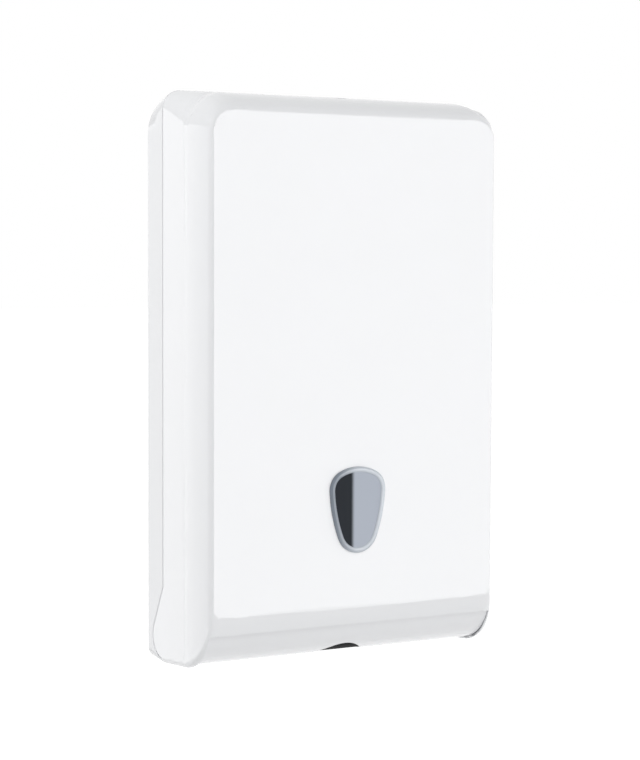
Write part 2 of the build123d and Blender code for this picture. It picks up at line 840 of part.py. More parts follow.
with BuildPart() as lock_screws:
    for screw_x in (-lock_screw_x, lock_screw_x):
        seat = Plane(
            origin=(screw_x, -latch_depth, level(plate_bottom)), x_dir=(1, 0, 0), z_dir=(0, 0, -1)
        )
        add(screw(seat, lock_screw_length))
finish(lock_screws.part, "lock_screws")

with BuildPart() as tray_screws:
    for screw_x in tray_screws_x:
        seat = Plane(
            origin=(screw_x, -tray_screw_depth, level(screw_head_height)),
            x_dir=(1, 0, 0),
            z_dir=(0, 0, -1),
        )
        add(screw(seat, tray_screw_length))
finish(tray_screws.part, "tray_screws")
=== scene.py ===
"""Looks of a wall dispenser for folded paper towels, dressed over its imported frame.

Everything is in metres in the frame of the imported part: +X right, +Y into the wall, +Z up, with the
origin at the centre of the four wall screw holes. Sizes in millimetres go through MM.
"""

import logging
from dataclasses import dataclass, field
from enum import Enum
from math import cos, hypot, pi, radians, sin, sqrt, tan
from typing import Any

import bmesh
import bpy
from mathutils import Matrix, Vector

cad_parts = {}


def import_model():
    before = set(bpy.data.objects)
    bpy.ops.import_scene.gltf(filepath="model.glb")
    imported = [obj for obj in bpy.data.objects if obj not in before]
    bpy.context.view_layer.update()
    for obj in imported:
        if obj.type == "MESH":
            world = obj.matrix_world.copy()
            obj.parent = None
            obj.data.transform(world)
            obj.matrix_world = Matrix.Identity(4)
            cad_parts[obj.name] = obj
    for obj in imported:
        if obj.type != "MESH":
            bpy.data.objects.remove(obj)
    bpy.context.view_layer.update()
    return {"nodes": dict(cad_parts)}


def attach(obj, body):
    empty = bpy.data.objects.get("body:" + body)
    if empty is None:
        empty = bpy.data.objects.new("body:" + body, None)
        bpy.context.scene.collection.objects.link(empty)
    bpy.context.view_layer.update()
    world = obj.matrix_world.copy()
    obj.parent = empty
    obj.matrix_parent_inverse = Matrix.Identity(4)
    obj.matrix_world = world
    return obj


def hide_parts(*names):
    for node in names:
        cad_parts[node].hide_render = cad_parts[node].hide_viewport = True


MM = 0.001
MERGE = 0.002 * MM  # corners of loose triangles nearer than this are one
ON_PLANE = 0.001 * MM  # corners nearer than this to a cut lie on it
# the colour sockets of Blender's Mix node
MIX_FIRST, MIX_SECOND, MIX_RESULT = 6, 7, 2
log = logging.getLogger("dispenser")

Links = dict[str | int, bpy.types.NodeSocket]


# ---------------------------------------------------------------- colour and nodes
def linear(colour: str) -> tuple[float, float, float, float]:
    """Turns an sRGB hex colour into Blender's linear colour.

    Args:
        colour: sRGB colour, such as "#F2F3F5".

    Returns:
        Red, green and blue, linear, and an alpha of 1.
    """
    digits = colour.lstrip("#")
    channels = [int(digits[i : i + 2], 16) / 255 for i in (0, 2, 4)]
    red, green, blue = (
        c / 12.92 if c <= 0.04045 else ((c + 0.055) / 1.055) ** 2.4 for c in channels
    )
    return red, green, blue, 1.0


def add_node(
    tree: bpy.types.NodeTree, kind: str, links: Links | None = None, **settings: Any
) -> bpy.types.Node:
    """Adds a shader node with its settings and the links into it.

    Args:
        tree: The tree the node joins.
        kind: Blender's name of the node type.
        links: Input name or number to the output socket that feeds it.
        **settings: Attributes of the node, or input values where no attribute has that name.

    Returns:
        The new node.
    """
    node = tree.nodes.new(kind)
    for name, value in settings.items():
        if hasattr(node, name):
            setattr(node, name, value)
        else:
            node.inputs[name.replace("_", " ")].default_value = value
    for name, socket in (links or {}).items():
        tree.links.new(socket, node.inputs[name])
    return node


def clear_tree(owner: bpy.types.Material | bpy.types.World) -> bpy.types.NodeTree:
    """Turns on the nodes of a material or a world and empties their tree.

    Args:
        owner: The material or the world.

    Returns:
        The empty tree.
    """
    owner.use_nodes = True
    owner.node_tree.nodes.clear()
    return owner.node_tree


def new_tree(name: str) -> tuple[bpy.types.Material, bpy.types.NodeTree, bpy.types.NodeSocket]:
    """Starts a material with nothing in its tree but the piece's own coordinates.

    Args:
        name: The material's name.

    Returns:
        The material, its tree and the coordinates.
    """
    material = bpy.data.materials.new(name)
    tree = clear_tree(material)
    return material, tree, add_node(tree, "ShaderNodeTexCoord").outputs["Object"]


def add_noise(
    tree: bpy.types.NodeTree, place: bpy.types.NodeSocket, size_mm: float, detail: float
) -> bpy.types.NodeSocket:
    """Adds a soft noise.

    Args:
        tree: The tree the node joins.
        place: The coordinates it follows.
        size_mm: Size of its patches.
        detail: Number of finer layers over them.

    Returns:
        The noise from 0 to 1.
    """
    noise = add_node(tree, "ShaderNodeTexNoise", {"Vector": place}, Detail=detail)
    noise.inputs["Scale"].default_value = 1 / (size_mm * MM)
    return noise.outputs["Fac"]


def add_relief(
    tree: bpy.types.NodeTree, height: bpy.types.NodeSocket, depth_mm: float
) -> bpy.types.NodeSocket:
    """Turns a height from 0 to 1 into a relief.

    Args:
        tree: The tree the node joins.
        height: The height.
        depth_mm: Depth of the relief.

    Returns:
        The normal.
    """
    bump = add_node(tree, "ShaderNodeBump", {"Height": height}, Strength=1.0)
    bump.inputs["Distance"].default_value = depth_mm * MM
    return bump.outputs["Normal"]


def add_tint(
    tree: bpy.types.NodeTree, share: bpy.types.NodeSocket, colour: str, shade: str
) -> bpy.types.NodeSocket:
    """Mixes two colours.

    Args:
        tree: The tree the node joins.
        share: 0 for the colour, 1 for the shade.
        colour: sRGB colour at 0.
        shade: sRGB colour at 1.

    Returns:
        The mixed colour.
    """
    mix = add_node(tree, "ShaderNodeMix", {"Factor": share}, data_type="RGBA")
    mix.inputs[MIX_FIRST].default_value = linear(colour)
    mix.inputs[MIX_SECOND].default_value = linear(shade)
    return mix.outputs[MIX_RESULT]


# ---------------------------------------------------------------- finishes
@dataclass(frozen=True)
class Moulded:
    """Injection-moulded plastic: nearly even colour and gloss, and a fine grain from the tool."""

    name: str
    colour: str
    shade: str
    roughness: float
    ior: float = 1.53
    grain_mm: float = 0.5
    grain_depth: float = 0.0  # mm
    flow_mm: float = 60.0  # between the palest and darkest places
    duller: float = 1.12  # roughness where the shade is full
    shinier: float = 0.9

    def material(self) -> bpy.types.Material:
        """Builds the plastic's material.

        Returns:
            The material.
        """
        material, tree, place = new_tree(self.name)
        flow = add_noise(tree, place, self.flow_mm, detail=2.0)
        grain = add_noise(tree, place, self.grain_mm, detail=3.0)
        gloss = add_node(
            tree,
            "ShaderNodeMapRange",
            {"Value": flow},
            To_Min=self.roughness * self.shinier,
            To_Max=self.roughness * self.duller,
        ).outputs["Result"]
        relief = add_relief(tree, grain, self.grain_depth)
        shader = add_node(
            tree,
            "ShaderNodeBsdfPrincipled",
            {
                "Base Color": add_tint(tree, flow, self.colour, self.shade),
                "Roughness": gloss,
                "Normal": relief,
            },
            IOR=self.ior,
        )
        add_node(tree, "ShaderNodeOutputMaterial", {"Surface": shader.outputs["BSDF"]})
        return material


@dataclass(frozen=True)
class TintedPlastic:
    """Moulded plastic whose colour turns over one upright line; on the window this paints shade on
    one side of the line and light on the other.
    """

    name: str
    colour: str  # left of the line
    shade: str  # right of the line
    line_mm: float  # from the middle
    soft_mm: float  # half the width over which it turns
    specular: float
    roughness: float = 0.06
    ior: float = 1.585
    flow_mm: float = 9.0
    flow_depth: float = 0.02  # mm

    def material(self) -> bpy.types.Material:
        """Builds the tinted material.

        Returns:
            The material.
        """
        material, tree, place = new_tree(self.name)
        parts = add_node(tree, "ShaderNodeSeparateXYZ", {"Vector": place})
        turn = add_node(
            tree,
            "ShaderNodeMapRange",
            {"Value": parts.outputs["X"]},
            interpolation_type="SMOOTHSTEP",
            From_Min=(self.line_mm - self.soft_mm) * MM,
            From_Max=(self.line_mm + self.soft_mm) * MM,
        ).outputs["Result"]
        relief = add_relief(tree, add_noise(tree, place, self.flow_mm, detail=2.0), self.flow_depth)
        shader = add_node(
            tree,
            "ShaderNodeBsdfPrincipled",
            {
                "Base Color": add_tint(tree, turn, self.colour, self.shade),
                "Normal": relief,
            },
            Roughness=self.roughness,
            IOR=self.ior,
            Specular_IOR_Level=self.specular,
        )
        add_node(tree, "ShaderNodeOutputMaterial", {"Surface": shader.outputs["BSDF"]})
        return material


@dataclass(frozen=True)
class Metal:
    """Plain steel with fine working marks."""

    name: str
    colour: str
    shade: str
    roughness: float
    mark_mm: float
    stretch: tuple[float, float, float] = (1.0, 1.0, 1.0)  # below 1 draws the marks out
    mark_depth: float = 0.01  # mm
    duller: float = 1.25  # roughness where the shade is full
    shinier: float = 0.8

    def material(self) -> bpy.types.Material:
        """Builds the metal's material.

        Returns:
            The material.
        """
        material, tree, place = new_tree(self.name)
        along = add_node(tree, "ShaderNodeMapping", {"Vector": place}, Scale=self.stretch)
        marks = add_noise(tree, along.outputs["Vector"], self.mark_mm, detail=4.0)
        gloss = add_node(
            tree,
            "ShaderNodeMapRange",
            {"Value": marks},
            To_Min=self.roughness * self.shinier,
            To_Max=self.roughness * self.duller,
        ).outputs["Result"]
        relief = add_relief(tree, marks, self.mark_depth)
        shader = add_node(
            tree,
            "ShaderNodeBsdfPrincipled",
            {
                "Base Color": add_tint(tree, marks, self.colour, self.shade),
                "Roughness": gloss,
                "Normal": relief,
            },
            Metallic=1.0,
        )
        add_node(tree, "ShaderNodeOutputMaterial", {"Surface": shader.outputs["BSDF"]})
        return material


class Finish(Enum):
    """Every finish on the dispenser."""

    # polished tool: a mirror-like skin without grain
    WHITE_ABS = Moulded("white ABS, moulded", "#F1F2F4", "#EFF0F2", roughness=0.07)
    # same plastic from another tool: a little greyer and duller beside the cover
    SHELL_ABS = Moulded("white ABS, moulded shell", "#E5E6E8", "#E2E3E5", roughness=0.12)
    # eroded tool: fine matt grain
    GREY_ABS = Moulded(
        "grey ABS, moulded", "#6A6E73", "#64686D", roughness=0.5, grain_depth=0.02
    )
    # same grain worn smoother: a soft sheen
    PALE_ABS = Moulded(
        "pale grey ABS, moulded", "#C9CCCF", "#C4C7CA", roughness=0.35, grain_depth=0.01
    )
    # broken edge in the gap: no gloss; its dark grey is painted shade, standing for the gap where
    # hardly any light gets in
    SEAM_SHADE_ABS = Moulded(
        "ABS at the parting edge, painted shade", "#4C4F52", "#46494C", roughness=0.6, grain_depth=0.02
    )
    # matt black plate behind the notch: painted shade, standing for the tray's inside where it lies
    # in shadow
    BLACK_SHADE_ABS = TintedPlastic(
        "black ABS, painted shade",
        "#08090A",
        "#0A0B0C",
        line_mm=0.0,
        soft_mm=30.0,
        specular=0.04,
        roughness=0.6,
        ior=1.53,
    )
    # waxy and faintly cream
    NATURAL_ACETAL = Moulded(
        "natural acetal, moulded",
        "#E9E7DF",
        "#E3E0D6",
        roughness=0.38,
        ior=1.48,
        grain_mm=0.4,
        grain_depth=0.004,
    )
    # the same in black: a dull glow along the edges
    BLACK_ACETAL = Moulded(
        "black acetal, moulded",
        "#1C1D1F",
        "#232426",
        roughness=0.36,
        ior=1.48,
        grain_mm=0.4,
        grain_depth=0.006,
    )
    # lens tint: near black on the left, painted shade of the empty inside behind it; blue-grey on the
    # right, painted light on the inside
    LENS_SHADE_AND_LIGHT_PC = TintedPlastic(
        "polycarbonate lens, painted shade and light",
        "#151C25",
        "#B9C0CC",
        line_mm=-4.6,
        soft_mm=1.9,
        specular=0.05,
    )
    # clear rim: painted shade on its left half and painted light on its right half, where it gathers
    # light
    RIM_SHADE_AND_LIGHT_PC = TintedPlastic(
        "polycarbonate rim, painted shade and light",
        "#828B97",
        "#CFD5DD",
        line_mm=-9.0,
        soft_mm=13.0,
        specular=0.4,
    )
    # its side wall: painted shade, the dark line of a clear edge seen end on
    RIM_EDGE_SHADE_PC = TintedPlastic(
        "polycarbonate rim edge, painted shade",
        "#4A525D",
        "#7D8692",
        line_mm=0.0,
        soft_mm=20.0,
        specular=0.3,
    )
    # its bead: painted highlight, the bright line round the lens, brighter on its right half
    RIM_BEAD_HIGHLIGHT_PC = TintedPlastic(
        "polycarbonate bead, painted highlight",
        "#B4BCC8",
        "#EEF1F5",
        line_mm=-9.0,
        soft_mm=13.0,
        specular=0.5,
    )
    # bright, with fine marks along the pin
    PIN_STEEL = Metal(
        "steel, ground", "#B9BBBD", "#A9ABAD", roughness=0.22, mark_mm=0.3, stretch=(0.1, 1.0, 1.0)
    )
    # soft patches, as zinc settles
    PLATED_SHEET = Metal(
        "sheet steel, zinc plated", "#C6C9C8", "#AEB3B4", roughness=0.34, mark_mm=3.0
    )
    # the same zinc, too small for patches
    SCREW_STEEL = Metal("steel, zinc plated", "#BDC0C2", "#A8ACAF", roughness=0.3, mark_mm=0.4)
    # grey sheen with small streaks up the coil
    SPRING_WIRE = Metal(
        "spring wire, drawn",
        "#A7A9AB",
        "#909294",
        roughness=0.24,
        mark_mm=0.2,
        stretch=(1.0, 1.0, 0.2),
    )


# ---------------------------------------------------------------- meshes
def cut_across(
    piece: bmesh.types.BMesh, place: tuple[float, float, float], facing: tuple[float, float, float]
) -> None:
    """Cuts a new line of edges right across a mesh.

    Args:
        piece: The mesh.
        place: A point of the cutting plane, in mm.
        facing: The plane's normal.
    """
    bmesh.ops.bisect_plane(
        piece,
        geom=[*piece.verts, *piece.edges, *piece.faces],
        dist=ON_PLANE,
        plane_co=Vector(place) * MM,
        plane_no=facing,
    )


def smoothed(piece: bmesh.types.BMesh, name: str, sharp_angle: float) -> bpy.types.Mesh:
    """Turns a finished bmesh into a smooth mesh.

    Args:
        piece: The bmesh, which is used up.
        name: The mesh's name.
        sharp_angle: Degrees past which an edge stays sharp.

    Returns:
        The mesh.
    """
    mesh = bpy.data.meshes.new(name)
    piece.to_mesh(mesh)
    piece.free()
    mesh.shade_smooth()
    mesh.set_sharp_from_angle(angle=radians(sharp_angle))
    return mesh


# ---------------------------------------------------------------- casing form
TAPER = radians(5.3)  # of the casing's top and foot, falling to the front


@dataclass(frozen=True)
class CasingForm:
    """Outer form of the casing as one rounded section at each depth from the wall, in mm.

    Heights are measured up from the lowest edge.
    """

    corner_at_wall: float
    low_corner_at_wall: float
    low_corner_at_seam: float
    nose_depth: float
    width: float = 262.0
    height: float = 452.0
    depth: float = 106.0
    foot_depth: float = 25.0
    slope: float = tan(TAPER)
    lean: float = cos(TAPER)
    corner_at_seam: float = 15.0
    corner_at_nose: float = 28.0
    corner_at_panel: float = 15.0
    low_corner_at_panel: float = 6.0
    seam_depth: float = 28.0
    nose_side: float = 7.3
    nose_top: float = 13.0
    belly_radius: float = 45.0
    step: float = 0.02  # over which the slope is measured

    @property
    def nose_start(self) -> float:
        """Depth where the front rounding begins."""
        return self.depth - self.nose_depth

    @property
    def belly_depth(self) -> float:
        """Depth of the belly's centre."""
        return self.depth - self.belly_radius

    @property
    def belly_height(self) -> float:
        """Height of the belly's centre."""
        return self.belly_radius / self.lean + (self.belly_depth - self.foot_depth) * self.slope

    def turn(self, at: float) -> float:
        """1 behind the front rounding, falling along an ellipse to 0 at the panel."""
        return sqrt(max(0.0, 1.0 - (max(0.0, at - self.nose_start) / self.nose_depth) ** 2))

    def section(self, at: float) -> tuple[float, float, float, float, float]:
        """Measures the section at one depth.

        Args:
            at: Depth from the wall.

        Returns:
            Half width, top, bottom, top corner radius and bottom corner radius.
        """
        turn = self.turn(at)
        half = self.width / 2 - self.nose_side * (1 - turn)
        top = self.height - at * self.slope - self.nose_top * (1 - turn)
        bottom = max(0.0, at - self.foot_depth) * self.slope
        if at > self.belly_depth + self.belly_radius * self.slope * self.lean:
            rise = sqrt(max(0.0, self.belly_radius**2 - (at - self.belly_depth) ** 2))
            bottom = self.belly_height - rise
        back = min(1.0, at / self.seam_depth)
        front = min(1.0, max(0.0, (at - self.seam_depth) / (self.nose_start - self.seam_depth)))
        corner = self.corner_at_wall + (self.corner_at_seam - self.corner_at_wall) * back
        corner += (self.corner_at_nose - self.corner_at_seam) * front
        low = self.low_corner_at_wall + (self.low_corner_at_seam - self.low_corner_at_wall) * back
        corner = self.corner_at_panel + (corner - self.corner_at_panel) * turn
        low = self.low_corner_at_panel + (low - self.low_corner_at_panel) * turn
        return half, top, bottom, corner, low

    def outside(self, x: float, at: float, above: float) -> float:
        """Measures how far a point lies outside its section.

        Args:
            x: Across, from the middle.
            at: Depth from the wall.
            above: Height.

        Returns:
            The distance in the section, negative inside.
        """
        half, top, bottom, corner, low = self.section(at)
        upper = above > (top + bottom) / 2
        radius = corner if upper else low
        across = abs(x) - half + radius
        along = (above - top if upper else bottom - above) + radius
        corner_way = hypot(max(0.0, across), max(0.0, along))
        return corner_way + min(0.0, max(across, along)) - radius

    def normal(self, x: float, at: float, above: float) -> tuple[Vector, float]:
        """Finds which way the form faces at a point, and how steeply it falls away there.

        Args:
            x: Across, from the middle.
            at: Depth from the wall.
            above: Height.

        Returns:
            The outward direction in the part's frame, and the length of the slope.
        """
        at = min(at, self.depth - 2 * self.step)
        step = self.step
        slope = Vector(
            (
                self.outside(x + step, at, above) - self.outside(x - step, at, above),
                self.outside(x, at - step, above) - self.outside(x, at + step, above),
                self.outside(x, at, above + step) - self.outside(x, at, above - step),
            )
        ) / (2 * step)
        return slope.normalized(), max(1.0, slope.length)


@dataclass(frozen=True)
class Reshaper:
    """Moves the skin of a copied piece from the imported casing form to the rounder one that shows.

    All lengths are in mm.
    """

    packed: CasingForm = CasingForm(
        corner_at_wall=26.0, low_corner_at_wall=12.0, low_corner_at_seam=7.0, nose_depth=26.0
    )
    shown: CasingForm = CasingForm(
        corner_at_wall=35.0, low_corner_at_wall=9.0, low_corner_at_seam=4.0, nose_depth=34.0
    )
    middle: float = 226.0  # height of the part's middle above the lowest edge
    corner_reach: float = 36.0  # past every corner radius
    skin: float = 0.15  # off the form within which a point counts as on it
    wall: float = 2.9  # that moves with the skin
    fade: float = 0.8  # over which the move dies out inside the wall
    rear_rows: tuple[float, ...] = (68, 72, 75, 78, 81, 84, 87, 90, 93)
    front_rows: tuple[float, ...] = (95, 97, 99, 101, 102.5, 103.5, 104.3, 105, 105.5, 105.8)
    corner_cuts: tuple[float, ...] = (36, 33.5, 31, 28.5, 26)
    facing: float = 0.8  # cosine within which a face follows the form
    flat: float = 0.999  # cosine within which a face is square to an axis
    panel_near: float = 0.05  # off the panel, at most
    sharp_angle: float = 32.0
    seam_zone: tuple[float, float] = (26.5, 29.5)  # depths of the seam above the heel
    seam_angle: float = 50.0  # that an edge turns by, at least
    seam_near: float = 0.1  # off the form, at most
    heel_top: float = 62.0
    heel_side: float = 1.0  # off the casing's side, at most
    heel_start: float = 1.0  # depth, at least
    seam_break: float = 0.65

    def corner_edge(self, radius: float, across: float, along: float) -> float:
        """Distance from the corner zone's inner point to the outline, in a given direction.

        Args:
            radius: Corner radius.
            across: Direction's part towards the side, at least 0.
            along: Direction's part towards the top or bottom, at least 0.

        Returns:
            The distance.
        """
        reach = self.corner_reach
        straight = reach / max(across, along)
        if straight * min(across, along) <= reach - radius:
            return straight
        inner = (reach - radius) * (across + along)
        return inner + sqrt(max(0.0, inner**2 - 2 * (reach - radius) ** 2 + radius**2))

    def move(self, x: float, at: float, above: float) -> tuple[float, float, float, bool]:
        """Moves one point.

        Args:
            x: Across, from the middle.
            at: Depth from the wall.
            above: Height.

        Returns:
            The new place, and whether it lies on the skin.
        """
        half, top, bottom, corner, low = self.packed.section(at)
        new_half, new_top, new_bottom, new_corner, new_low = self.shown.section(at)
        upper = above > (top + bottom) / 2
        old, new = (corner, new_corner) if upper else (low, new_low)
        across = half - abs(x)
        along = top - above if upper else above - bottom
        off = self.packed.outside(x, at, above) / self.packed.normal(x, at, above)[1]
        on_skin = abs(off) < self.skin
        reach = self.corner_reach
        if across < reach and along < reach:
            span = hypot(reach - across, reach - along)
            way = (reach - across) / span, (reach - along) / span
            edge = self.corner_edge(old, *way)
            share = self.corner_edge(new, *way) / (span if on_skin else edge)
            across = reach - (reach - across) * share
            along = reach - (reach - along) * share
        elif on_skin:
            across, along = (0.0, along) if across < along else (across, 0.0)
        side = min(1.0, max(0.0, 1 - (across - self.wall) / self.fade))
        end = min(1.0, max(0.0, 1 - (along - self.wall) / self.fade))
        if across < reach and along < reach:
            side = end = max(side, end)
        place = half + (new_half - half) * side - across
        end_now, end_new = (top, new_top) if upper else (bottom, new_bottom)
        level = end_now + (end_new - end_now) * end + (-along if upper else along)
        return (place if x > 0 else -place), at, level, on_skin

    def cut(self, piece: bmesh.types.BMesh) -> None:
        """Cuts rows across the front rounding and strips along the corners, so both can bend.

        Args:
            piece: The merged copy, before it is moved.
        """
        slope = self.packed.slope
        planes = [((0, -row, 0), (0, 1, 0)) for row in (*self.rear_rows, *self.front_rows)]
        for inset in self.corner_cuts:
            across = self.packed.width / 2 - inset
            planes += [((-across, 0, 0), (1, 0, 0)), ((across, 0, 0), (1, 0, 0))]
            planes.append(((0, 0, self.packed.height - inset - self.middle), (0, -slope, 1)))
        for place, facing in planes:
            cut_across(piece, place, facing)
        bmesh.ops.triangulate(piece, faces=piece.faces)

    def open_seam(self, piece: bmesh.types.BMesh) -> None:
        """Breaks the outer edges along the seam, so that it reads as a shadow gap; the broken faces
        take the second material, whose grey is painted shade of the gap.

        Args:
            piece: The merged copy, before it is cut and moved.
        """
        edges = []
        for edge in piece.edges:
            if len(edge.link_faces) != 2 or edge.calc_face_angle(0) < radians(self.seam_angle):
                continue
            ends = [corner.co / MM for corner in edge.verts]
            form = [self.packed.outside(e.x, -e.y, e.z + self.middle) for e in ends]
            if any(abs(off) > self.seam_near for off in form):
                continue
            upright = all(self.seam_zone[0] < -e.y < self.seam_zone[1] for e in ends)
            low = all(e.z + self.middle < self.heel_top and -e.y > self.heel_start for e in ends)
            outermost = self.packed.width / 2 - self.heel_side
            if upright or (low and all(abs(e.x) > outermost for e in ends)):
                edges.append(edge)
        bmesh.ops.bevel(
            piece,
            geom=edges,
            offset=self.seam_break * MM,
            affect="EDGES",
            segments=1,
            profile=0.5,
            material=1,
            clamp_overlap=True,
        )
        log.info("broke %d seam edges", len(edges))

    def reshape(self, piece: bmesh.types.BMesh, name: str) -> bpy.types.Mesh:
        """Moves a merged copy's vertices and smooths its skin.

        Args:
            piece: The merged copy, which is used up.
            name: The new mesh's name.

        Returns:
            The new mesh.
        """
        self.open_seam(piece)
        self.cut(piece)
        on_skin = []
        for vertex in piece.verts:
            x, y, z = vertex.co / MM
            place, at, above, skin = self.move(x, -y, z + self.middle)
            vertex.co = Vector((place, -at, above - self.middle)) * MM
            on_skin.append(skin)
        mesh = smoothed(piece, name, self.sharp_angle)
        normals = [Vector() for _ in mesh.loops]  # an empty one stays as Blender smooths it
        for face in mesh.polygons:
            corners = [mesh.vertices[i].co for i in face.vertices]
            on_form = all(on_skin[i] for i in face.vertices) and abs(face.normal.y) <= self.flat
            if all(-corner.y / MM > self.shown.depth - self.panel_near for corner in corners):
                for loop in face.loop_indices:
                    normals[loop] = Vector((0, -1, 0))
            elif on_form and face.material_index == 0:
                for loop, corner in zip(face.loop_indices, corners):
                    x, y, z = corner / MM
                    outward = self.shown.normal(x, -y, z + self.middle)[0]
                    if outward.dot(face.normal) > self.facing:
                        normals[loop] = outward
            elif not on_form and max(abs(part) for part in face.normal) > self.flat:
                for loop in face.loop_indices:
                    normals[loop] = face.normal.copy()
        mesh.normals_split_custom_set(normals)
        return mesh


# ---------------------------------------------------------------- dressing the frame's own nodes
@dataclass
class Dresser:
    """Gives pieces and the frame's nodes their finish."""

    nodes: dict[str, bpy.types.Object]
    made: dict[Finish, bpy.types.Material] = field(default_factory=dict)

    def material(self, finish: Finish) -> bpy.types.Material:
        """Makes a finish's material once.

        Args:
            finish: The finish.

        Returns:
            Its material.
        """
        if finish not in self.made:
            self.made[finish] = finish.value.material()
        return self.made[finish]

    def coat(self, piece: bpy.types.Object, finish: Finish) -> None:
        """Gives a piece one material all over.

        Args:
            piece: The mesh to coat.
            finish: Its finish.
        """
        piece.data.materials.clear()
        piece.data.materials.append(self.material(finish))

    def dress(self, name: str, finish: Finish) -> None:
        """Coats one of the frame's nodes and reports it.

        Args:
            name: The node.
            finish: Its finish.
        """
        self.coat(self.nodes[name], finish)
        log.info("dressed %s in %s", name, finish.value.name)


@dataclass
class Assembly:
    """Pieces of one sub-assembly that stand in for nodes of the frame."""

    dresser: Dresser

    def copy(self, node: str) -> bmesh.types.BMesh:
        """Copies a node's mesh and merges its loose triangles.

        Args:
            node: The frame's node.

        Returns:
            The merged copy.
        """
        piece = bmesh.new()
        piece.from_mesh(self.dresser.nodes[node].data)
        bmesh.ops.remove_doubles(piece, verts=piece.verts, dist=MERGE)
        return piece

    def place(
        self, mesh: bpy.types.Mesh, finish: Finish, body: str, slot: str
    ) -> bpy.types.Object:
        """Puts a finished mesh into the scene on its body.

        Args:
            mesh: The piece's mesh, which has the piece's name.
            finish: Its finish.
            body: The body it rides on.
            slot: The record's material slot; not used.

        Returns:
            The piece.
        """
        piece = bpy.data.objects.new(mesh.name, mesh)
        bpy.context.scene.collection.objects.link(piece)
        self.dresser.coat(piece, finish)
        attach(piece, body)
        log.info("built %s in %s", mesh.name, finish.value.name)
        return piece


@dataclass
class Casing(Assembly):
    """Back shell and front cover."""

    reshaper: Reshaper = field(default_factory=Reshaper)

    def build(self) -> None:
        """Builds both mouldings over the frame's own."""
        for node, name, finish, body in (
            ("back_shell", "back_shell_moulding", Finish.SHELL_ABS, "base"),
            ("front_cover", "front_cover_moulding", Finish.WHITE_ABS, "cover"),
        ):
            mesh = self.reshaper.reshape(self.copy(node), name)
            piece = self.place(mesh, finish, body, "white_abs")
            # second material, on the broken seam edges: painted shade of the gap
            mesh.materials.append(self.dresser.material(Finish.SEAM_SHADE_ABS))
            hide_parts(node)


@dataclass
class Outlet(Assembly):
    """Curved black plate behind the outlet tray's notch, in mm: painted shade where the tray's inside
    lies in shadow.
    """

    half_width: float = 27.0
    radius: float = 42.3  # inside the tray's front wall, which ends at 43
    wall: float = 1.0
    centre: tuple[float, float, float] = (0.0, -61.0, -177.5)
    top_angle: float = 38.0  # degrees below straight ahead
    low_angle: float = 84.0
    steps: int = 16
    spans: int = 7
    sharp_angle: float = 35.0

    def recess(self) -> bpy.types.Mesh:
        """Spins the plate's curved wall behind the notch.

        Returns:
            The mesh.
        """
        piece = bmesh.new()
        turn = radians(self.top_angle)
        height = self.centre[2] - self.radius * sin(turn)
        depth = self.centre[1] - self.radius * cos(turn)
        sides = (-self.half_width, self.half_width)
        ends = [piece.verts.new(Vector((side, depth, height)) * MM) for side in sides]
        edge = piece.edges.new(ends)
        bmesh.ops.spin(
            piece,
            geom=[*ends, edge],
            cent=Vector(self.centre) * MM,
            axis=(1, 0, 0),
            angle=radians(self.low_angle - self.top_angle),
            steps=self.steps,
        )
        wide = [e for e in piece.edges if abs(e.verts[0].co.x - e.verts[1].co.x) > MM]
        bmesh.ops.subdivide_edges(piece, edges=wide, cuts=self.spans - 1)
        bmesh.ops.recalc_face_normals(piece, faces=piece.faces)
        bmesh.ops.solidify(piece, geom=piece.faces, thickness=self.wall * MM)
        bmesh.ops.recalc_face_normals(piece, faces=piece.faces)
        return smoothed(piece, "notch_shade_plate", self.sharp_angle)

    def build(self) -> None:
        """Builds the black plate behind the notch, which paints the shade inside the tray."""
        self.place(self.recess(), Finish.BLACK_SHADE_ABS, "base", "acetal_dark")


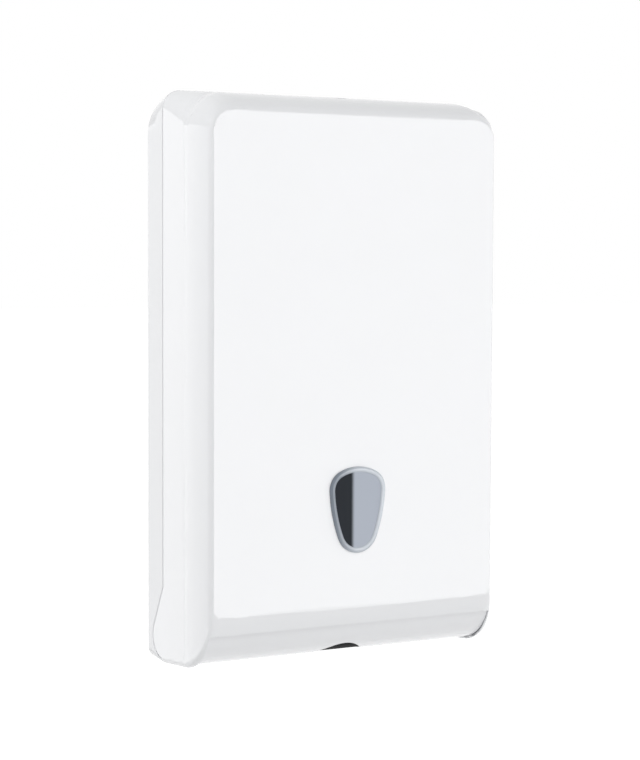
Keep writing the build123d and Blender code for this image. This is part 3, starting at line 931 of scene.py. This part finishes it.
@dataclass
class LevelWindow(Assembly):
    """Level window of the cover: rim with its bead, and the lens inside it, whose colour paints the
    shaded and lit inside, in mm.
    """

    face_depth: float = 107.2
    middle_height: float = -101.0
    half_width: float = 25.7
    narrow: float = 0.96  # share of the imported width
    near: float = 0.01  # off a face within which a corner lies on it
    lift: float = 0.03  # of the lens above the face at its sides
    crown: float = 0.55
    strips: int = 14
    strip_height: float = 1.3  # share of a strip's width
    bead_foot: float = 0.1  # above the face
    wall_cosine: float = 0.3  # within which a face is a side wall
    inward_cosine: float = 0.1  # past which a face looks at the lens
    sharp_angle: float = 30.0

    def lens(self) -> bpy.types.Mesh:
        """Cuts the lens from the window's face and crowns it.

        Returns:
            The mesh.
        """
        piece = self.copy("level_window")
        depth = self.face_depth * MM
        spare = [
            face
            for face in piece.faces
            if not all(abs(-corner.co.y - depth) < self.near * MM for corner in face.verts)
        ]
        bmesh.ops.delete(piece, geom=spare, context="FACES")
        middle = Vector((0, -depth, self.middle_height * MM))
        nearest = min(piece.verts, key=lambda corner: (corner.co - middle).length)
        inside = {nearest}
        front = [nearest]
        while front:
            around = {edge.other_vert(corner) for corner in front for edge in corner.link_edges}
            front = list(around - inside)
            inside |= around
        bmesh.ops.delete(piece, geom=[v for v in piece.verts if v not in inside], context="VERTS")
        for strip in range(1, self.strips):
            across = self.half_width * (2 * strip / self.strips - 1)
            level = self.middle_height + across * self.strip_height
            cut_across(piece, (across, 0, 0), (1, 0, 0))
            cut_across(piece, (0, 0, level), (0, 0, 1))
        for corner in piece.verts:
            share = 1 - (corner.co.x / (self.half_width * MM)) ** 2
            corner.co.y -= (self.lift + self.crown * share) * MM
        bmesh.ops.scale(piece, verts=piece.verts, vec=(self.narrow, 1, 1))
        return smoothed(piece, "window_lens", self.sharp_angle)

    def rim(self) -> bpy.types.Mesh:
        """Copies the window for its rim and bead.

        Returns:
            The mesh.
        """
        piece = self.copy("level_window")
        for face in piece.faces:
            middle = face.calc_center_median() / MM
            away = Vector((middle.x, 0, middle.z - self.middle_height))
            behind = -middle.y < self.face_depth - self.near
            inward = face.normal.dot(away) < -self.inward_cosine * away.length
            # side walls take the second material: painted shade
            if behind and abs(face.normal.y) < self.wall_cosine:
                face.material_index = 1
            # inward faces of the bead take the third material: painted highlight
            elif inward and -middle.y > self.face_depth + self.bead_foot:
                face.material_index = 2
        bmesh.ops.scale(piece, verts=piece.verts, vec=(self.narrow, 1, 1))
        return smoothed(piece, "window_rim", self.sharp_angle)

    def build(self) -> None:
        """Builds the rim and the lens over the frame's window."""
        rim = self.place(self.rim(), Finish.RIM_SHADE_AND_LIGHT_PC, "cover", "clear_pc")
        # edge and bead materials: painted shade and painted highlight
        for finish in (Finish.RIM_EDGE_SHADE_PC, Finish.RIM_BEAD_HIGHLIGHT_PC):
            rim.data.materials.append(self.dresser.material(finish))
        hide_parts("level_window")
        self.place(self.lens(), Finish.LENS_SHADE_AND_LIGHT_PC, "cover", "clear_pc")


# ---------------------------------------------------------------- studio
class Rays(Enum):
    """Which rays a lamp answers."""

    ALL = (True, True)
    LIGHT_ONLY = (True, False)
    REFLECTION_ONLY = (False, True)


@dataclass(frozen=True)
class SoftBox:
    """Rectangular soft light that stands round the part and faces its upright axis."""

    name: str
    azimuth: float  # degrees from straight ahead, positive to the part's right
    distance: float  # metres
    height: float  # metres above the part's middle
    size: tuple[float, float]  # metres
    radiance: float  # 1 shows white
    rays: Rays = Rays.ALL

    def build(self) -> bpy.types.Object:
        """Builds the lamp.

        Returns:
            The lamp.
        """
        data = bpy.data.lights.new(self.name, "AREA")
        data.shape = "RECTANGLE"
        data.size, data.size_y = self.size
        data.energy = self.radiance * pi * self.size[0] * self.size[1]
        lamp = bpy.data.objects.new(self.name, data)
        turn = radians(self.azimuth)
        place = Vector((sin(turn) * self.distance, -cos(turn) * self.distance, self.height))
        lamp.location = place
        lamp.rotation_euler = (-place).to_track_quat("-Z", "Y").to_euler()
        lamp.visible_diffuse, lamp.visible_glossy = self.rays.value
        lamp.visible_camera = False
        bpy.context.scene.collection.objects.link(lamp)
        return lamp


@dataclass
class Studio:
    """Camera, soft lights, white surroundings and a pale floor."""

    lens_mm: float = 91.09
    sensor_mm: float = 36.0
    eye_mm: tuple[float, float, float] = (-740.5, -1402.7, 88.9)
    yaw: float = 28.6  # degrees to the right
    pitch: float = -3.45  # degrees up
    roll: float = 0.235  # degrees
    view_end: float = 200.0  # metres
    white: str = "#FFFFFF"
    paint: str = "#F4F4F4"
    floor_drop_mm: float = 700.0
    floor_size: float = 60.0  # metres
    surround: float = 0.40  # share of white that lights the part
    floor_glow: float = 0.68  # share of white that shows
    boxes: tuple[SoftBox, ...] = (
        SoftBox(
            "left box in reflections",
            azimuth=-135.0,
            distance=2.0,
            height=-0.1,
            size=(2.6, 1.3),
            radiance=0.95,
            rays=Rays.REFLECTION_ONLY,
        ),
        SoftBox(
            "left light",
            azimuth=-128.0,
            distance=2.0,
            height=0.3,
            size=(1.8, 1.3),
            radiance=0.85,
            rays=Rays.LIGHT_ONLY,
        ),
        SoftBox(
            "high left light",
            azimuth=-100.0,
            distance=1.2,
            height=0.7,
            size=(0.8, 0.6),
            radiance=3.0,
            rays=Rays.LIGHT_ONLY,
        ),
        SoftBox(
            "front box in reflections",
            azimuth=30.0,
            distance=2.4,
            height=-0.12,
            size=(1.05, 1.5),
            radiance=3.7,
            rays=Rays.REFLECTION_ONLY,
        ),
        SoftBox(
            "right box",
            azimuth=75.0,
            distance=2.3,
            height=0.1,
            size=(1.9, 1.6),
            radiance=1.6,
        ),
        SoftBox(
            "upper light",
            azimuth=-20.0,
            distance=1.7,
            height=1.3,
            size=(1.0, 0.7),
            radiance=5.45,
            rays=Rays.LIGHT_ONLY,
        ),
        SoftBox(
            "low front light",
            azimuth=5.0,
            distance=1.6,
            height=-0.5,
            size=(1.4, 0.3),
            radiance=2.15,
            rays=Rays.LIGHT_ONLY,
        ),
    )

    def camera(self) -> bpy.types.Object:
        """Stands the camera in front, left of the middle.

        Returns:
            The camera.
        """
        data = bpy.data.cameras.new("camera")
        data.lens = self.lens_mm
        data.sensor_width = self.sensor_mm
        data.clip_end = self.view_end
        camera = bpy.data.objects.new("camera", data)
        bpy.context.scene.collection.objects.link(camera)
        turn, tilt, lean = radians(self.yaw), radians(self.pitch), radians(self.roll)
        ahead = Vector((sin(turn) * cos(tilt), cos(turn) * cos(tilt), sin(tilt)))
        level = Vector((cos(turn), -sin(turn), 0))
        above = level.cross(ahead)
        right = level * cos(lean) + above * sin(lean)
        up = above * cos(lean) - level * sin(lean)
        axes = Matrix((right, up, -ahead)).transposed().to_4x4()
        camera.matrix_world = Matrix.Translation(Vector(self.eye_mm) * MM) @ axes
        bpy.context.scene.camera = camera
        return camera

    def shown(self, tree: bpy.types.NodeTree) -> bpy.types.NodeSocket:
        """Tells the rays that show the surroundings from those that carry light.

        Args:
            tree: The tree the nodes join.

        Returns:
            1 for camera, glossy and transmission rays.
        """
        rays = add_node(tree, "ShaderNodeLightPath").outputs
        through = add_node(
            tree,
            "ShaderNodeMath",
            {0: rays["Is Glossy Ray"], 1: rays["Is Transmission Ray"]},
            operation="MAXIMUM",
        )
        every = add_node(
            tree,
            "ShaderNodeMath",
            {0: rays["Is Camera Ray"], 1: through.outputs[0]},
            operation="MAXIMUM",
        )
        return every.outputs[0]

    def world(self) -> None:
        """Lights from all round, and shows white to the camera and in reflections."""
        world = bpy.data.worlds.new("surroundings")
        bpy.context.scene.world = world
        tree = clear_tree(world)
        white = linear(self.white)
        soft = add_node(tree, "ShaderNodeBackground", Color=white, Strength=self.surround)
        full = add_node(tree, "ShaderNodeBackground", Color=white, Strength=1.0)
        both = add_node(
            tree,
            "ShaderNodeMixShader",
            {0: self.shown(tree), 1: soft.outputs[0], 2: full.outputs[0]},
        )
        add_node(tree, "ShaderNodeOutputWorld", {"Surface": both.outputs[0]})

    def floor(self) -> None:
        """Lays a pale floor below the part, which keeps its shadow."""
        grid = bmesh.new()
        bmesh.ops.create_grid(grid, x_segments=1, y_segments=1, size=self.floor_size / 2)
        bmesh.ops.translate(grid, verts=grid.verts, vec=(0, 0, -self.floor_drop_mm * MM))
        mesh = bpy.data.meshes.new("floor")
        grid.to_mesh(mesh)
        grid.free()
        floor = bpy.data.objects.new("floor", mesh)
        bpy.context.scene.collection.objects.link(floor)
        material = bpy.data.materials.new("floor, painted white")
        tree = clear_tree(material)
        strength = add_node(tree, "ShaderNodeMath", {0: self.shown(tree)}, operation="MULTIPLY")
        strength.inputs[1].default_value = self.floor_glow
        paint = add_node(tree, "ShaderNodeBsdfDiffuse", Color=linear(self.paint))
        glow = add_node(
            tree, "ShaderNodeEmission", {"Strength": strength.outputs[0]}, Color=linear(self.white)
        )
        both = add_node(tree, "ShaderNodeAddShader", {0: paint.outputs[0], 1: glow.outputs[0]})
        add_node(tree, "ShaderNodeOutputMaterial", {"Surface": both.outputs[0]})
        mesh.materials.append(material)

    def build(self) -> None:
        """Sets the whole studio up."""
        bpy.context.scene.view_settings.view_transform = "Standard"
        self.camera()
        for box in self.boxes:
            box.build()
        self.world()
        self.floor()
        log.info("studio set up")


def main() -> None:
    """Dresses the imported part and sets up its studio."""
    logging.basicConfig(level=logging.INFO, format="%(name)s: %(message)s")
    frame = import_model()
    dresser = Dresser(frame["nodes"])
    finishes = {
        Finish.WHITE_ABS: ("outlet_tray",),
        Finish.GREY_ABS: ("window_retainer", "lock_housing"),
        Finish.PALE_ABS: ("key_escutcheon",),
        Finish.NATURAL_ACETAL: ("hinge_bush_left", "hinge_bush_right"),
        Finish.BLACK_ACETAL: ("latch_lever",),
        Finish.PIN_STEEL: ("hinge_pin_left", "hinge_pin_right", "latch_pin"),
        Finish.PLATED_SHEET: ("strike_plate",),
        Finish.SCREW_STEEL: ("strike_screws", "lock_screws", "tray_screws"),
        Finish.SPRING_WIRE: ("latch_spring",),
    }
    for finish, names in finishes.items():
        for name in names:
            dresser.dress(name, finish)
    Casing(dresser).build()
    Outlet(dresser).build()
    LevelWindow(dresser).build()
    Studio().build()


if __name__ == "__main__":
    main()
